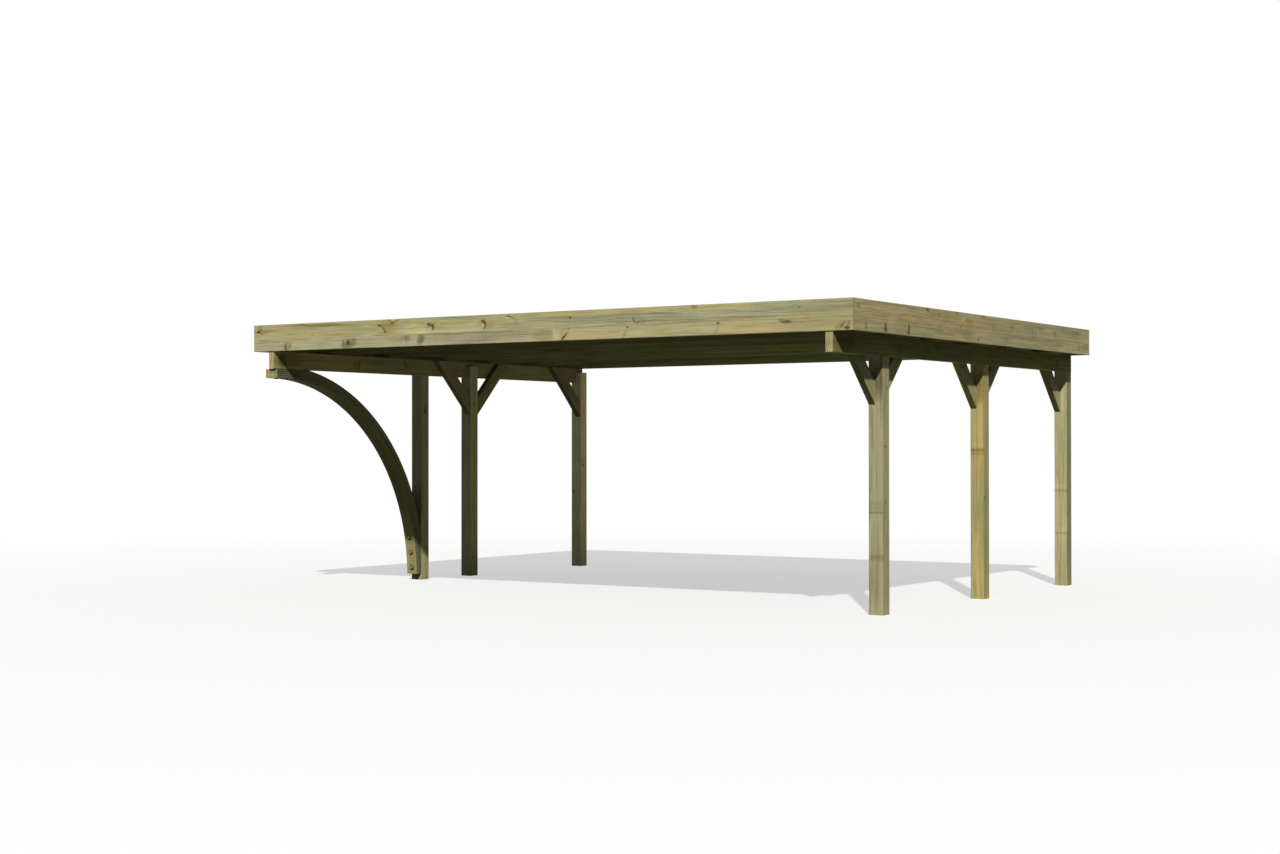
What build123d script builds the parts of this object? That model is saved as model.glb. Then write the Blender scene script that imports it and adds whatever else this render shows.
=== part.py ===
from build123d import *
import os
from math import sqrt

# Double carport with a flat roof: six posts, two side beams, joists, a deep fascia and a curved entry brace.
# Millimetres. +X is to the right seen from the front, +Y to the rear, +Z up.
# The origin is on the ground, at the middle of the whole outline.

# Roof outline and heights
roof_width = 6000
roof_depth = 4815
clear_height = 1995

# Posts
post_size = 120
post_inset = 172
post_tongue_height = 110
post_arris = 4

# Post places along the depth: the right and left rows share the middle and rear places
front_post_setback = 828
rear_post_setback = 17
entry_post_offset = 701

# Side beams
beam_thickness = 60
beam_height = 155
beam_setback = 12
timber_arris = 3

# Straight knee braces
brace_width = 120
brace_thickness = 58
brace_rise = 374
brace_top_gap = 5
brace_arris = 2

# Joists
joist_thickness = 45
joist_height = 120
joist_count = 7

# Fascia boards, two high
fascia_thickness = 28
fascia_upper_height = 138
fascia_lower_height = 99
fascia_joint_offset = 301
board_arris = 2

# Roof sheets
sheet_count = 6
ribs_per_sheet = 5
rib_height = 35
rib_foot_width = 72
rib_crown_width = 38
sheet_thickness = 0.75
sheet_lap_gap = 0.5
sheet_edge_gap = 5
sheet_end_gap = 10

# Curved laminated brace: concentric quarter rings, cut flat where they meet the beam and the post
lamination_thickness = 19
lamination_count = 6
arch_centre_setback = 96
arch_post_cut = 47
arch_beam_cut = 33
arch_foot_height = 60
nose_setback = 35
nose_bevel = 20

# Bolt heads on the curved brace
washer_diameter = 40
washer_thickness = 3
bolt_head_diameter = 25
bolt_seat_gap = 0.3
foot_bolt_heights = (118, 265, 410)
nose_bolt_setbacks = (70, 300)

# Places worked out from the sizes above
front_y = -roof_depth / 2
rear_y = roof_depth / 2
side_x = roof_width / 2
inner_x = side_x - fascia_thickness
frame_top = clear_height + beam_height
joist_top = frame_top + joist_height
fascia_split = frame_top + fascia_lower_height
post_face_x = side_x - post_inset
beam_inner_x = post_face_x - beam_thickness
entry_face_x = beam_inner_x + post_size
rear_post_y = rear_y - rear_post_setback - post_size
front_post_y = front_y + front_post_setback
middle_post_y = (front_post_y + rear_post_y) / 2
entry_post_y = middle_post_y - entry_post_offset

os.makedirs("parts", exist_ok=True)


def write(piece, name):
    """Label a finished piece and write it under its own name."""
    piece.part.label = name
    export_step(piece.part, f"parts/{name}.step")


def make_board(name, x_range, y_range, z_range, arris):
    """Square-edged timber between two corners, its long edges eased by the arris."""
    length, depth, height = (high - low for low, high in (x_range, y_range, z_range))
    long_axis = Axis.X if length > depth else Axis.Y
    with BuildPart() as board:
        with BuildSketch(Plane.XY.offset(z_range[0])):
            with Locations((sum(x_range) / 2, sum(y_range) / 2)):
                Rectangle(length, depth)
        extrude(amount=height)
        chamfer(board.edges().filter_by(long_axis), arris)
    write(board, name)


# Posts: half of the top is cut away as a seat for the beam, and the other half stands beside it as a tongue.
# The tongue is on the inner side, but the left entry post is turned round and has it on the outer side.
def make_post(name, side, post_y, outer_face):
    """Square post with its front face at post_y, on the right (side 1) or the left (side -1)."""
    centre_y = post_y + post_size / 2
    with BuildPart() as post:
        with BuildSketch(Plane.XY):
            with Locations((side * (outer_face - post_size / 2), centre_y)):
                Rectangle(post_size, post_size)
        extrude(amount=clear_height + post_tongue_height)
        chamfer(post.edges().filter_by(Axis.Z), post_arris)
        with BuildSketch(Plane.XY.offset(clear_height)):
            with Locations((side * (post_face_x + beam_inner_x) / 2, centre_y)):
                Rectangle(beam_thickness, post_size)
        extrude(amount=post_tongue_height, mode=Mode.SUBTRACT)
    write(post, name)


right_posts = {"front": front_post_y, "middle": middle_post_y, "rear": rear_post_y}
left_posts = {"entry": entry_post_y, "middle": middle_post_y, "rear": rear_post_y}
for place, post_y in right_posts.items():
    make_post(f"post_right_{place}", 1, post_y, post_face_x)
for place, post_y in left_posts.items():
    make_post(f"post_left_{place}", -1, post_y, entry_face_x if place == "entry" else post_face_x)


# Side beams: seated on the posts, flush with their outer faces, or with the entry post's inner face. They run
# from just behind the front fascia's face to the rear posts' rear faces.
for side_name, side in (("right", 1), ("left", -1)):
    beam_faces = sorted((side * post_face_x, side * beam_inner_x))
    beam_ends = (front_y + beam_setback, rear_post_y + post_size)
    make_board(f"beam_{side_name}", beam_faces, beam_ends, (clear_height, frame_top), timber_arris)


# Knee braces at 45 degrees: butted against the post under the beam, laid against the beam's inner face above
def make_brace(name, side, post_y, direction):
    """Knee brace that rises to the front (direction -1) or to the rear (direction 1) of a post."""
    butt_y = post_y if direction < 0 else post_y + post_size
    foot_z = clear_height - brace_rise
    head_z = frame_top - brace_top_gap
    cut_length = brace_width * sqrt(2)
    head_reach = head_z - foot_z
    with BuildPart() as brace:
        with BuildSketch(Plane.YZ.offset(side * beam_inner_x)):
            with BuildLine():
                Polyline(
                    (butt_y, foot_z),
                    (butt_y + direction * head_reach, head_z),
                    (butt_y + direction * (head_reach - cut_length), head_z),
                    (butt_y, foot_z + cut_length),
                    close=True,
                )
            make_face()
        extrude(amount=-side * brace_thickness)
        slanted = [edge for edge in brace.edges() if abs(edge.length - brace_thickness) > 1]
        chamfer([edge for edge in slanted if abs((edge % 0.5).Y) > 0.5 and abs((edge % 0.5).Z) > 0.5], brace_arris)
    write(brace, name)


for place, post_y in right_posts.items():
    make_brace(f"brace_right_{place}_fore", 1, post_y, -1)
    if place != "rear":
        make_brace(f"brace_right_{place}_aft", 1, post_y, 1)
make_brace("brace_left_middle_fore", -1, middle_post_y, -1)
make_brace("brace_left_middle_aft", -1, middle_post_y, 1)
make_brace("brace_left_rear_fore", -1, rear_post_y, -1)


# Curved entry brace: as wide as its post and in line with it, its back cut flat against the post and its top
# flat under the beam. The beam runs on past its nose, whose inner corner is bevelled.
arch_centre_y = front_y + arch_centre_setback
arch_outer_radius = entry_post_y + arch_post_cut - arch_centre_y
arch_inner_radius = arch_outer_radius - lamination_thickness * lamination_count
arch_centre_z = clear_height + arch_beam_cut - arch_outer_radius
nose_y = front_y + nose_setback

with BuildPart() as entry_arch:
    with BuildSketch(Plane.YZ.offset(-entry_face_x)):
        for radius, mode in ((arch_outer_radius, Mode.ADD), (arch_inner_radius, Mode.SUBTRACT)):
            with BuildLine():
                corner = CenterArc((arch_centre_y, arch_centre_z), radius, 0, 90)
                Polyline(
                    corner @ 1,
                    (arch_centre_y - radius, arch_centre_z + radius),
                    (arch_centre_y - radius, arch_centre_z - radius),
                    (arch_centre_y + radius, arch_centre_z - radius),
                    corner @ 0,
                )
            make_face(mode=mode)
        with Locations(((nose_y + entry_post_y) / 2, (arch_foot_height + clear_height) / 2)):
            Rectangle(entry_post_y - nose_y, clear_height - arch_foot_height, mode=Mode.INTERSECT)
    extrude(amount=post_size)
    chamfer(entry_arch.edges().filter_by(GeomType.CIRCLE), timber_arris)
    nose_face = entry_arch.faces().sort_by(Axis.Y)[0]
    chamfer(nose_face.edges().filter_by(Axis.Z).sort_by(Axis.X)[-1], nose_bevel)
write(entry_arch, "entry_arch")


# Bolt heads: a washer and a domed head, seated on the curved brace's inner curve
with BuildPart() as bolt_head:
    with BuildSketch(Plane.XZ):
        with BuildLine():
            rim = bolt_head_diameter / 2
            Polyline(
                (0, washer_thickness + rim),
                (0, 0),
                (washer_diameter / 2, 0),
                (washer_diameter / 2, washer_thickness),
                (rim, washer_thickness),
            )
            CenterArc((0, washer_thickness), rim, 0, 90)
        make_face()
    revolve(axis=Axis.Z)


def soffit_seat(x, y, z):
    """Plane on the curved brace's inner curve at (x, y, z), square to it; beyond the ring the curve runs straight."""
    inward = Vector(0, min(arch_centre_y - y, 0), min(arch_centre_z - z, 0)).normalized()
    return Plane(origin=Vector(x, y, z) + inward * bolt_seat_gap, x_dir=(1, 0, 0), z_dir=inward)


foot_seats = []
for bolt_z in foot_bolt_heights:
    rise = max(bolt_z - arch_centre_z, 0)
    bolt_y = arch_centre_y + sqrt(arch_inner_radius**2 - rise**2)
    foot_seats.append(soffit_seat(-entry_face_x + post_size / 2, bolt_y, bolt_z))
nose_seats = []
for setback in nose_bolt_setbacks:
    reach = max(setback - arch_centre_setback, 0)
    bolt_z = arch_centre_z + sqrt(arch_inner_radius**2 - reach**2)
    nose_seats.append(soffit_seat(-(post_face_x + beam_inner_x) / 2, front_y + setback, bolt_z))

for name, seats in (("arch_foot_bolts", foot_seats), ("arch_nose_bolts", nose_seats)):
    with BuildPart() as bolts:
        with Locations(*[Location(seat) for seat in seats]):
            add(bolt_head.part)
    write(bolts, name)


# Joists: on top of the beams, between the side fascias, evenly spaced from the front fascia to the rear one
first_joist_y = front_y + fascia_thickness
joist_run = roof_depth - 2 * fascia_thickness - joist_thickness
for number in range(joist_count):
    joist_y = first_joist_y + number * joist_run / (joist_count - 1)
    joist_faces = (joist_y, joist_y + joist_thickness)
    make_board(f"joist_{number + 1}", (-inner_x, inner_x), joist_faces, (frame_top, joist_top), board_arris)


# Fascia: the front and rear boards run to the corners, the side boards fit between them
fascia_top = fascia_split + fascia_upper_height
lower_band = (frame_top, fascia_split)
upper_band = (fascia_split, fascia_top)
front_faces = (front_y, front_y + fascia_thickness)
rear_faces = (rear_y - fascia_thickness, rear_y)
for end_name, faces in (("front", front_faces), ("rear", rear_faces)):
    lower_left = (-side_x, fascia_joint_offset)
    lower_right = (fascia_joint_offset, side_x)
    make_board(f"fascia_{end_name}_upper", (-side_x, side_x), faces, upper_band, board_arris)
    make_board(f"fascia_{end_name}_lower_left", lower_left, faces, lower_band, board_arris)
    make_board(f"fascia_{end_name}_lower_right", lower_right, faces, lower_band, board_arris)
for side_name, faces in (("right", (inner_x, side_x)), ("left", (-side_x, -inner_x))):
    side_run = (front_faces[1], rear_faces[0])
    make_board(f"fascia_{side_name}_upper", faces, side_run, upper_band, board_arris)
    make_board(f"fascia_{side_name}_lower", faces, side_run, lower_band, board_arris)


# Roof sheets: ribbed sheets along the depth, each lapped one rib over the next
first_rib_x = -inner_x + sheet_edge_gap + rib_foot_width / 2
rib_pitch = -2 * first_rib_x / (sheet_count * ribs_per_sheet)
flank_slope = (rib_foot_width - rib_crown_width) / 2 / rib_height
lap_drop = sheet_thickness + sheet_lap_gap


def rib_points(centre_x, drop):
    """The four underside corners of one rib; drop lowers a rib that another sheet covers."""
    foot = rib_foot_width / 2 - drop * flank_slope
    crown = rib_crown_width / 2
    crown_z = rib_height - drop
    return [
        (centre_x - foot, 0),
        (centre_x - crown, crown_z),
        (centre_x + crown, crown_z),
        (centre_x + foot, 0),
    ]


def sheet_underside(number):
    """Underside of one sheet from its covered rib on the left to its covering rib on the right."""
    start_x = first_rib_x + number * ribs_per_sheet * rib_pitch
    points = rib_points(start_x, lap_drop if number else 0)
    for rib in range(1, ribs_per_sheet + 1):
        points += rib_points(start_x + rib * rib_pitch, 0)
    if number < sheet_count - 1:
        last_x = points[-1][0] - lap_drop * flank_slope
        points[-1] = (last_x, lap_drop)
    return points


for number in range(sheet_count):
    underside = sheet_underside(number)
    topside = [(x, z + sheet_thickness) for x, z in reversed(underside)]
    start_y = front_faces[1] + sheet_end_gap
    end_y = rear_faces[0] - sheet_end_gap
    with BuildPart() as sheet:
        with BuildSketch(Plane(origin=(0, end_y, joist_top), x_dir=(1, 0, 0), z_dir=(0, -1, 0))):
            with BuildLine():
                Polyline(*underside, *topside, close=True)
            make_face()
        extrude(amount=end_y - start_y)
    write(sheet, f"roof_sheet_{number + 1}")
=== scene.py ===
import math
import random
import bpy
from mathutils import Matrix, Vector


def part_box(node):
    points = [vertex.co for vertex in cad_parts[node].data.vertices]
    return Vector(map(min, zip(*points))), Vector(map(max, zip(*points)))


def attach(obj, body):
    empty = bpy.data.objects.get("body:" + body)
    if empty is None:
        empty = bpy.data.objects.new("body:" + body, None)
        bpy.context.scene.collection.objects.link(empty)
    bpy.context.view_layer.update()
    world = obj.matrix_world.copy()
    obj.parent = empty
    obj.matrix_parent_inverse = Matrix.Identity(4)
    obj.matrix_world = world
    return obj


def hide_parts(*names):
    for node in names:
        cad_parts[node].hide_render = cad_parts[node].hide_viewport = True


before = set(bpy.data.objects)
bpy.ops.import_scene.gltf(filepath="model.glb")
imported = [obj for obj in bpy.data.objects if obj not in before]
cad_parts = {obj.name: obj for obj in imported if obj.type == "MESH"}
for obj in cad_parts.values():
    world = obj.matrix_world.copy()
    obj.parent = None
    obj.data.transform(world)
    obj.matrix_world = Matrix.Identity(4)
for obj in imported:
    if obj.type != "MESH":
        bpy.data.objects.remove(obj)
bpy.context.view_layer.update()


# Camera: a standing view from the front right, just low enough to look up under the roof.
# A short telephoto, level to within a degree, as the photograph was taken.
camera_lens = bpy.data.cameras.new("camera")
camera_lens.sensor_width = 36.0
camera_lens.lens = 55.11
camera_lens.clip_end = 200.0
camera = bpy.data.objects.new("camera", camera_lens)
camera.location = (9.544, -15.186, 1.301)
camera.rotation_euler = (math.radians(90.566), math.radians(0.035), math.radians(33.325))
bpy.context.scene.collection.objects.link(camera)
bpy.context.scene.camera = camera
bpy.context.scene.view_settings.view_transform = "Standard"


# Light: one plain sun from the front right at a late-morning height, with a weak sky.
# The sky is open above and in front, and dark low down at the sides, as beside trees or a hedge.
sun_light = bpy.data.lights.new("sun", "SUN")
sun_light.energy = 3.8
sun_light.angle = math.radians(1.2)
sun_light.color = (1.0, 0.985, 0.95)
sun = bpy.data.objects.new("sun", sun_light)
sun.rotation_euler = Vector((1.0, -1.63, 1.47)).to_track_quat("Z", "Y").to_euler()
bpy.context.scene.collection.objects.link(sun)


def feed(tree, socket, value):
    """Link or set one input; None leaves it as it is."""
    if isinstance(value, bpy.types.NodeSocket):
        tree.links.new(value, socket)
    elif value is not None:
        socket.default_value = value


def add_node(tree, kind, *inputs, **settings):
    """A node with its first inputs set or linked in order."""
    node = tree.nodes.new(kind)
    for name, value in settings.items():
        setattr(node, name, value)
    for socket, value in zip(node.inputs, inputs):
        feed(tree, socket, value)
    return node


def calc(tree, operation, a, b=0.0, c=0.0):
    return add_node(tree, "ShaderNodeMath", a, b, c, operation=operation).outputs[0]


def smooth_step(tree, value, low, high, start=0.0, end=1.0):
    return add_node(
        tree, "ShaderNodeMapRange", value, low, high, start, end, interpolation_type="SMOOTHSTEP"
    ).outputs[0]


def paint(tree, factor, under, over, kind="MIX"):
    """One colour over another by a factor."""
    node = add_node(tree, "ShaderNodeMix", data_type="RGBA", blend_type=kind)
    for name, value in (("Factor", factor), ("A", under), ("B", over)):
        feed(tree, node.inputs[name], (*value, 1.0) if isinstance(value, tuple) else value)
    return node.outputs["Result"]


world = bpy.data.worlds.new("plain_sky")
bpy.context.scene.world = world
world.use_nodes = True
sky = world.node_tree
sky.nodes.clear()
direction = add_node(sky, "ShaderNodeTexCoord").outputs["Generated"]
toward = add_node(sky, "ShaderNodeSeparateXYZ", direction).outputs
in_front = smooth_step(sky, toward["Y"], -0.10, -0.70)
overhead = smooth_step(sky, toward["Z"], 0.30, 0.62)
low_sky = paint(sky, in_front, (0.034, 0.038, 0.022), (0.085, 0.112, 0.150))
glow = paint(sky, overhead, low_sky, (0.250, 0.265, 0.275))
soft_light = add_node(sky, "ShaderNodeBackground", glow, 1.0)
white = add_node(sky, "ShaderNodeBackground", (1.0, 1.0, 1.0, 1.0), 1.0)
rays = add_node(sky, "ShaderNodeLightPath").outputs
seen = calc(sky, "MAXIMUM", rays["Is Camera Ray"], rays["Is Glossy Ray"])
seen = calc(sky, "MAXIMUM", seen, rays["Is Transmission Ray"])
backdrop = add_node(sky, "ShaderNodeMixShader", seen, soft_light.outputs[0], white.outputs[0])
add_node(sky, "ShaderNodeOutputWorld", backdrop.outputs[0])


# Floor: a plain pale floor that keeps the shadow and fades into the white background far away.
# Sunlight that falls on it goes back up to the carport as from light paving inside and darker ground around.
floor_radius = 70.0
fade_start, fade_end = 5.5, 13.0
paving_edge_x = (2.6, 3.2)
paving_edge_y = (2.6, 3.4)
lit_from_x, lit_to_x = -1.5, 2.2


def new_material(name):
    """A material with an empty node tree."""
    material = bpy.data.materials.new(name)
    material.use_nodes = True
    material.node_tree.nodes.clear()
    return material, material.node_tree


def vector(tree, operation, a, b=None):
    return add_node(tree, "ShaderNodeVectorMath", a, b, operation=operation).outputs


bpy.ops.object.select_all(action="DESELECT")
bpy.ops.mesh.primitive_circle_add(
    vertices=64, radius=floor_radius, fill_type="NGON", location=(0.0, 0.0, 0.0)
)
floor = bpy.context.object
floor.name = "floor"
pale_floor, tree = new_material("pale_floor")
place = add_node(tree, "ShaderNodeTexCoord").outputs["Object"]
fade = smooth_step(tree, vector(tree, "LENGTH", place)["Value"], fade_start, fade_end)
matt = add_node(tree, "ShaderNodeBsdfDiffuse", (0.40, 0.40, 0.40, 1.0))
pale = add_node(tree, "ShaderNodeEmission", (1.0, 1.0, 1.0, 1.0), 0.56)
near = add_node(tree, "ShaderNodeAddShader", matt.outputs[0], pale.outputs[0])
white = add_node(tree, "ShaderNodeEmission", (1.0, 1.0, 1.0, 1.0), 1.0)
seen_floor = add_node(tree, "ShaderNodeMixShader", fade, near.outputs[0], white.outputs[0]).outputs[0]
apart = add_node(tree, "ShaderNodeSeparateXYZ", vector(tree, "ABSOLUTE", place)[0]).outputs
beside = smooth_step(tree, apart["X"], *paving_edge_x)
ahead = smooth_step(tree, apart["Y"], *paving_edge_y)
outside = calc(tree, "MAXIMUM", beside, ahead)
rightward = add_node(tree, "ShaderNodeSeparateXYZ", place).outputs["X"]
rightward = smooth_step(tree, rightward, lit_from_x, lit_to_x)
inside = paint(tree, rightward, (0.12, 0.115, 0.08), (0.62, 0.59, 0.41))
ground = paint(tree, outside, inside, (0.045, 0.043, 0.028))
bounce = add_node(tree, "ShaderNodeBsdfDiffuse", ground).outputs[0]
rays = add_node(tree, "ShaderNodeLightPath").outputs
mixed = add_node(tree, "ShaderNodeMixShader", rays["Is Diffuse Ray"], seen_floor, bounce)
add_node(tree, "ShaderNodeOutputMaterial", mixed.outputs[0])
floor.data.materials.append(pale_floor)


# Posts: six 120 mm square posts of pressure-treated pine, sawn with the heart inside, with eased arrises.
# Half of each is cut away at the top for the side beam, the outer half on five and the inner half on the
# left entry post. Their grain runs up, and they stand on the ground.
def stretch(tree, place, u, v, w):
    return vector(tree, "MULTIPLY", place, (u, v, w))[0]


def constant(tree, value):
    node = add_node(tree, "ShaderNodeValue")
    node.outputs[0].default_value = value
    return node.outputs[0]


def cloud(tree, place, seed, detail=2.0, rough=0.5):
    node = add_node(tree, "ShaderNodeTexNoise", None, None, 1.0, detail, rough, noise_dimensions="4D")
    tree.links.new(place, node.inputs["Vector"])
    tree.links.new(seed, node.inputs["W"])
    return node.outputs


def centred(tree, noise):
    """A noise colour moved to lie evenly about zero."""
    return vector(tree, "SUBTRACT", noise, (0.5, 0.5, 0.5))[0]


def distance(tree, a, b):
    """Length from the two legs of a right angle."""
    squares = [calc(tree, "MULTIPLY", leg, leg) for leg in (a, b)]
    return calc(tree, "SQRT", calc(tree, "ADD", *squares))


def tint(tree, tone, factor, colour):
    return paint(tree, factor, tone, colour, "MULTIPLY")


# The figure of treated pine in the solid: growth rings round the heart, fibres, knots and patchy green salts.
# Place is measured along the grain and across it from the heart, in metres.
pine = bpy.data.node_groups.new("treated_pine", "ShaderNodeTree")
for name, kind in (
    ("Place", "Vector"), ("Knot", "Float"), ("End", "Float"), ("Seed", "Float"),
    ("Light", "Color"), ("Deep", "Color"), ("Cut", "Color"), ("Ring", "Float"), ("Knottiness", "Float"),
):
    pine.interface.new_socket(name, in_out="INPUT", socket_type="NodeSocket" + kind)
for name, kind in (("Color", "Color"), ("Roughness", "Float"), ("Height", "Float")):
    pine.interface.new_socket(name, in_out="OUTPUT", socket_type="NodeSocket" + kind)
given = pine.nodes.new("NodeGroupInput").outputs
bend = centred(pine, cloud(pine, stretch(pine, given["Place"], 1.3, 7.0, 7.0), given["Seed"])["Color"])
bent = vector(pine, "ADD", given["Place"], stretch(pine, bend, 0.02, 0.017, 0.017))[0]
# Knots: small ones scattered in the wood, and those that a board is given by place.
scatter = stretch(pine, bent, 3.1, 7.0, 7.0)
scattered = add_node(pine, "ShaderNodeTexVoronoi", None, None, 1.0, voronoi_dimensions="4D", feature="F1")
pine.links.new(scatter, scattered.inputs["Vector"])
pine.links.new(given["Seed"], scattered.inputs["W"])
size = add_node(pine, "ShaderNodeSeparateColor", scattered.outputs["Color"]).outputs[0]
size = calc(pine, "MULTIPLY", smooth_step(pine, size, 0.0, 1.0, 0.035, 0.135), given["Knottiness"])
stray = calc(pine, "DIVIDE", scattered.outputs["Distance"], size)
inward = add_node(pine, "ShaderNodeVectorMath", (0.30, 0.34, 0.0), operation="SCALE")
pine.links.new(size, inward.inputs["Scale"])
core = vector(pine, "SUBTRACT", scatter, scattered.outputs["Position"])[0]
core = vector(pine, "ADD", core, inward.outputs[0])[0]
core = calc(pine, "DIVIDE", vector(pine, "LENGTH", core)["Value"], size)
knot = calc(pine, "MINIMUM", stray, given["Knot"])
swirl = calc(pine, "POWER", 2.718, calc(pine, "MULTIPLY", calc(pine, "MULTIPLY", knot, knot), -0.22))
# Growth rings: distance from the heart, with a slight taper, bulging round the knots.
parts = add_node(pine, "ShaderNodeSeparateXYZ", bent).outputs
across = calc(pine, "MULTIPLY_ADD", parts[0], 0.006, distance(pine, parts[1], parts[2]))
across = calc(pine, "MULTIPLY_ADD", swirl, 0.013, across)
turn = calc(pine, "DIVIDE", across, given["Ring"])
phase = calc(pine, "FRACT", turn)
late = calc(pine, "MULTIPLY", smooth_step(pine, phase, 0.35, 0.9), smooth_step(pine, phase, 1.0, 0.93))


def season(pace):
    """Slow change from ring to ring."""
    node = add_node(pine, "ShaderNodeTexNoise", None, None, 1.0, 2.0, noise_dimensions="1D")
    pine.links.new(calc(pine, "MULTIPLY_ADD", turn, pace, given["Seed"]), node.inputs["W"])
    return node.outputs[0]


band = smooth_step(pine, season(0.16), 0.3, 0.7)
fibre = cloud(pine, stretch(pine, given["Place"], 7.0, 300.0, 300.0), given["Seed"], 2.0, 0.6)[0]
grain = cloud(pine, stretch(pine, bent, 2.2, 75.0, 75.0), given["Seed"], 3.0, 0.6)[0]
streak = cloud(pine, stretch(pine, bent, 0.8, 30.0, 30.0), given["Seed"], 3.0, 0.55)[0]
patch = cloud(pine, stretch(pine, bent, 0.9, 4.5, 4.5), given["Seed"], 3.0, 0.55)[0]
blotch = cloud(pine, stretch(pine, bent, 4.0, 15.0, 15.0), given["Seed"], 3.0, 0.6)[0]
stain = cloud(pine, stretch(pine, bent, 1.7, 9.0, 9.0), given["Seed"], 4.0, 0.62)["Color"]
stain = add_node(pine, "ShaderNodeSeparateColor", stain).outputs
# Colour: two tones in patches and streaks, darker late wood, and knots with a warm rim and a dark edge.
tone = paint(pine, smooth_step(pine, patch, 0.36, 0.64), given["Light"], given["Deep"])
tone = paint(pine, smooth_step(pine, streak, 0.42, 0.68, 0.0, 0.55), tone, given["Deep"])
tone = tint(pine, tone, smooth_step(pine, streak, 0.60, 0.80, 0.0, 0.5), (0.62, 0.58, 0.46))
tone = tint(pine, tone, smooth_step(pine, blotch, 0.50, 0.70, 0.0, 0.45), (0.74, 0.74, 0.70))
tone = tint(pine, tone, smooth_step(pine, blotch, 0.46, 0.30, 0.0, 0.40), (1.16, 1.15, 1.16))
tone = tint(pine, tone, smooth_step(pine, stain[0], 0.52, 0.66, 0.0, 0.55), (0.82, 0.92, 0.92))
tone = tint(pine, tone, smooth_step(pine, stain[1], 0.53, 0.67, 0.0, 0.50), (1.10, 0.98, 0.84))
tone = tint(pine, tone, smooth_step(pine, grain, 0.48, 0.66, 0.0, 0.75), (0.68, 0.67, 0.60))
tone = tint(pine, tone, smooth_step(pine, grain, 0.46, 0.32, 0.0, 0.75), (1.18, 1.16, 1.10))
tone = tint(pine, tone, calc(pine, "MULTIPLY", band, 0.25), (0.74, 0.70, 0.58))
tone = tint(pine, tone, calc(pine, "MULTIPLY", late, 0.26), (0.66, 0.56, 0.40))
tone = tint(pine, tone, smooth_step(pine, fibre, 0.35, 0.75, 0.0, 0.22), (0.60, 0.55, 0.42))
tone = tint(pine, tone, smooth_step(pine, knot, 2.6, 1.0, 0.0, 0.35), (0.74, 0.66, 0.44))
tone = tint(pine, tone, smooth_step(pine, core, 1.0, 0.5, 0.0, 0.8), (1.25, 1.27, 1.40))
shell = calc(pine, "MULTIPLY", smooth_step(pine, stray, 1.25, 0.85), smooth_step(pine, core, 0.55, 0.95))
tone = paint(pine, calc(pine, "MULTIPLY", shell, 0.85), tone, (0.10, 0.075, 0.035))
cross = tint(pine, given["Cut"], calc(pine, "MULTIPLY", late, 0.45), (0.62, 0.54, 0.38))
cross = tint(pine, cross, smooth_step(pine, season(0.38), 0.45, 0.62, 0.0, 0.75), (0.60, 0.58, 0.42))
cross = tint(pine, cross, smooth_step(pine, blotch, 0.45, 0.7, 0.0, 0.5), (0.74, 0.72, 0.66))
tone = paint(pine, given["End"], tone, cross)
relief = calc(pine, "MULTIPLY_ADD", late, 0.35, calc(pine, "MULTIPLY", fibre, 0.8))
relief = calc(pine, "MULTIPLY_ADD", shell, 0.4, relief)
given_back = pine.nodes.new("NodeGroupOutput").inputs
pine.links.new(tone, given_back["Color"])
pine.links.new(smooth_step(pine, fibre, 0.2, 0.8, 0.62, 0.85), given_back["Roughness"])
pine.links.new(relief, given_back["Height"])


def sawn(tree, light, deep, cut, ring, knottiness, **rest):
    """The pine's outputs, with its tones, ring width and knots set."""
    wood = add_node(tree, "ShaderNodeGroup", node_tree=pine)
    for name, tone in (("Light", light), ("Deep", deep), ("Cut", cut)):
        wood.inputs[name].default_value = (*tone, 1.0)
    for name, value in {"Ring": ring, "Knottiness": knottiness, **rest}.items():
        feed(tree, wood.inputs[name], value)
    return wood.outputs


def make_surface(tree, tone, roughness, gloss, height=None, relief_depth=0.0012):
    """The surface itself, with a fine relief where a height is given."""
    surface = add_node(tree, "ShaderNodeBsdfPrincipled")
    surface.inputs["Specular IOR Level"].default_value = gloss
    tree.links.new(tone, surface.inputs["Base Color"])
    tree.links.new(roughness, surface.inputs["Roughness"])
    if height is not None:
        bump = add_node(tree, "ShaderNodeBump")
        bump.inputs["Strength"].default_value = 0.5
        bump.inputs["Distance"].default_value = relief_depth
        tree.links.new(height, bump.inputs["Height"])
        tree.links.new(bump.outputs[0], surface.inputs["Normal"])
    add_node(tree, "ShaderNodeOutputMaterial", surface.outputs[0])
    return surface


def along(tree, axis, heart):
    """Place along the grain and across it, and the same from the heart; axis is the grain's direction."""
    spot = add_node(tree, "ShaderNodeTexCoord").outputs["Object"]
    grain = Vector(axis).normalized()
    side = Vector((1.0, 0.0, 0.0)) if abs(grain.x) < 0.5 else Vector((0.0, 1.0, 0.0))
    rise = side.cross(grain)
    axes = [grain, rise if rise.z >= 0.0 else -rise, side]
    runs = [vector(tree, "DOT_PRODUCT", spot, tuple(way))["Value"] for way in axes]
    flat = add_node(tree, "ShaderNodeCombineXYZ", *runs).outputs[0]
    return flat, vector(tree, "SUBTRACT", flat, heart)[0]


def loosen(tree, flat, seed, scale, shift):
    """The same place pushed about by a soft noise, so that marks get an uneven edge."""
    shake = centred(tree, cloud(tree, stretch(tree, flat, *scale, 1.0), seed, 3.0, 0.6)["Color"])
    return vector(tree, "ADD", flat, stretch(tree, shake, *shift, 0.0))[0]


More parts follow.
